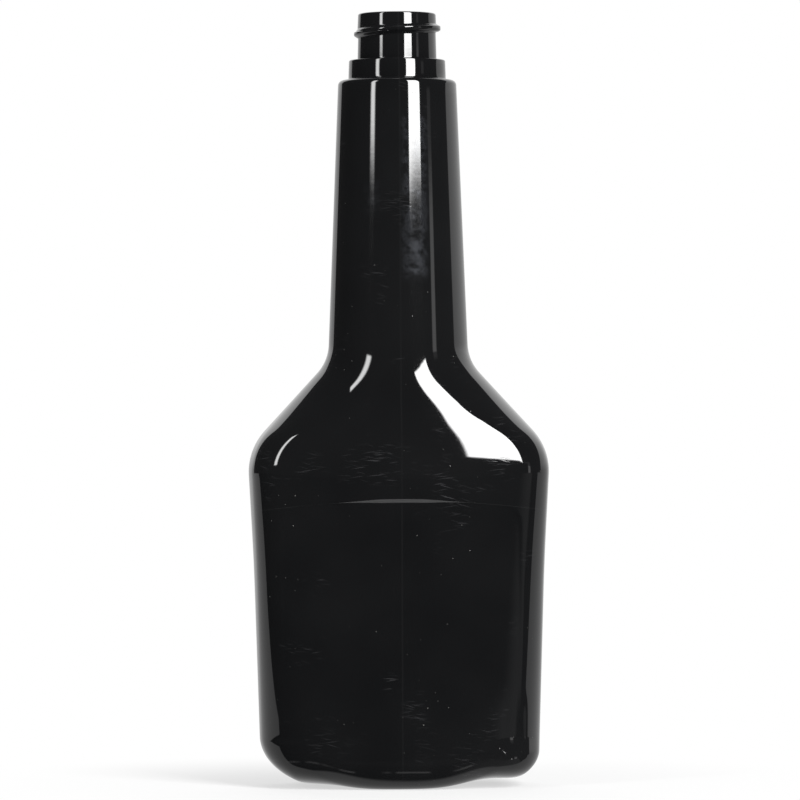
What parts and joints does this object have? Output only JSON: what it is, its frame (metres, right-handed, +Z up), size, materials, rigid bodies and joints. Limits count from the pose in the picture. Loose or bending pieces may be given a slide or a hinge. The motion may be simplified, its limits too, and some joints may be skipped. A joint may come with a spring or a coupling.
{
  "type": "cone top bottle",
  "caption": "Empty black blown plastic bottle with an oval body, sloping shoulders, a long tapering cone and an open screw neck with a collar.",
  "frame": {"origin": "middle of the base, on the surface that the bottle stands on", "axes": "+Z up through the neck, +X across the broad width, +Y through the depth, from the broad front to the back"},
  "size_m": [0.0824, 0.047, 0.212],
  "materials": {
    "black_plastic": "glossy, as moulded, lightly scuffed"
  },
  "bodies": {
    "root": {"bottle": "black_plastic"}
  },
  "joints": []
}
